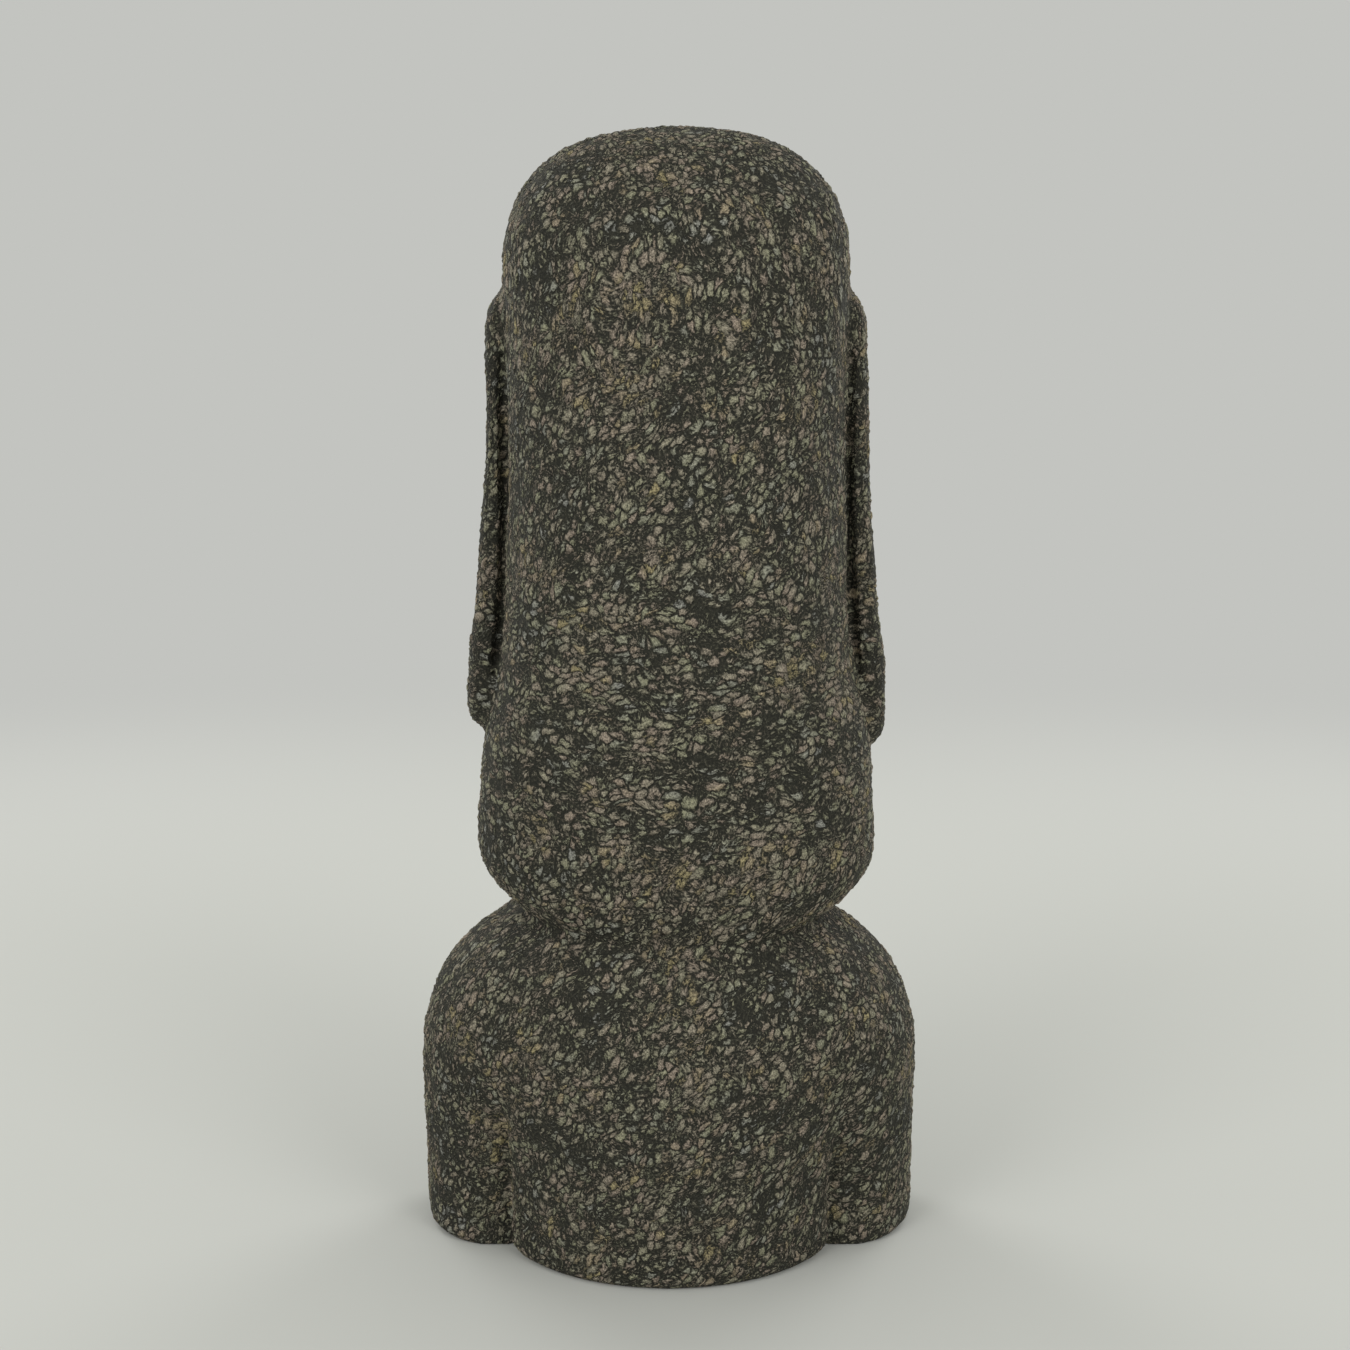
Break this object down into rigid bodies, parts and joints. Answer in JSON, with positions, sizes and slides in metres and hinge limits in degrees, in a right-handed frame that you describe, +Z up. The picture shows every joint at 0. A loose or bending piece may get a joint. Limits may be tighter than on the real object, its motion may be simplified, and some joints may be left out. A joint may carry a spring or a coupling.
{
  "type": "moai garden statue",
  "caption": "Solid cast-stone moai figure: a tall calm head with a heavy brow, long nose and long ears on cut-off shoulders, standing on a flat underside.",
  "frame": {"origin": "middle of the underside, on the surface that the statue stands on", "axes": "+Z up through the crown, the face looks towards -Y and the back of the head towards +Y, +X across the shoulders"},
  "size_m": [0.2062, 0.1666, 0.4499],
  "materials": {
    "cast_stone": "rough flaked cast stone, charcoal in the hollows and dry-brushed taupe, olive and ochre on the raised flakes"
  },
  "bodies": {
    "root": {"moai_statue": "cast_stone"}
  },
  "joints": []
}
